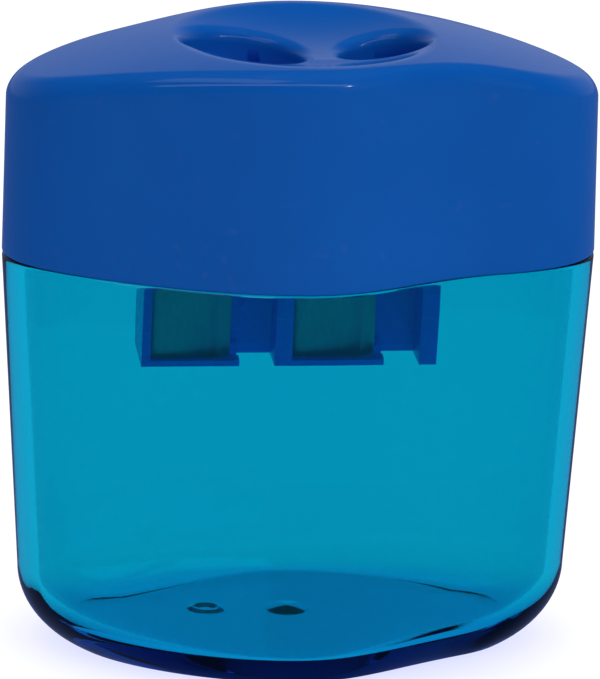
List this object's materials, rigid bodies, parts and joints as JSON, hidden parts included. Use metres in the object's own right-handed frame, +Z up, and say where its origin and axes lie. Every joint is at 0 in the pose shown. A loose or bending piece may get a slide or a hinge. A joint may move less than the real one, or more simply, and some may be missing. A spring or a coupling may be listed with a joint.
{
  "type": "pencil sharpener",
  "caption": "Canister pencil sharpener: clear oval shavings cup with a rounded foot, opaque lift-off lid with a dished top, and a wedge block with steel blades for thick and thin pencils.",
  "frame": {"origin": "middle of the canister's flat foot, at the bottom of the object", "axes": "+Z up along the pencil holes; X along the long side of the oval, with the large hole towards -X; -Y is the front, the side that the blades face"},
  "size_m": [0.06, 0.0332, 0.0634],
  "materials": {
    "clear_canister": "polished clear polystyrene, tinted cyan",
    "blue_lid": "glossy moulded, opaque blue",
    "blue_block": "semi-gloss moulded, opaque blue",
    "blade_steel": "ground, with a honed bevel",
    "screw_steel": "zinc plated"
  },
  "bodies": {
    "canister": {"canister": "clear_canister"},
    "lid": {"lid": "blue_lid", "sharpener_block": "blue_block", "large_blade": "blade_steel", "small_blade": "blade_steel", "large_blade_screw": "screw_steel", "small_blade_screw": "screw_steel"}
  },
  "joints": [
    {"name": "lid_lift", "type": "slide", "parent": "canister", "child": "lid", "axis": [0, 0, 1], "range_m": [0, 0.04]}
  ]
}
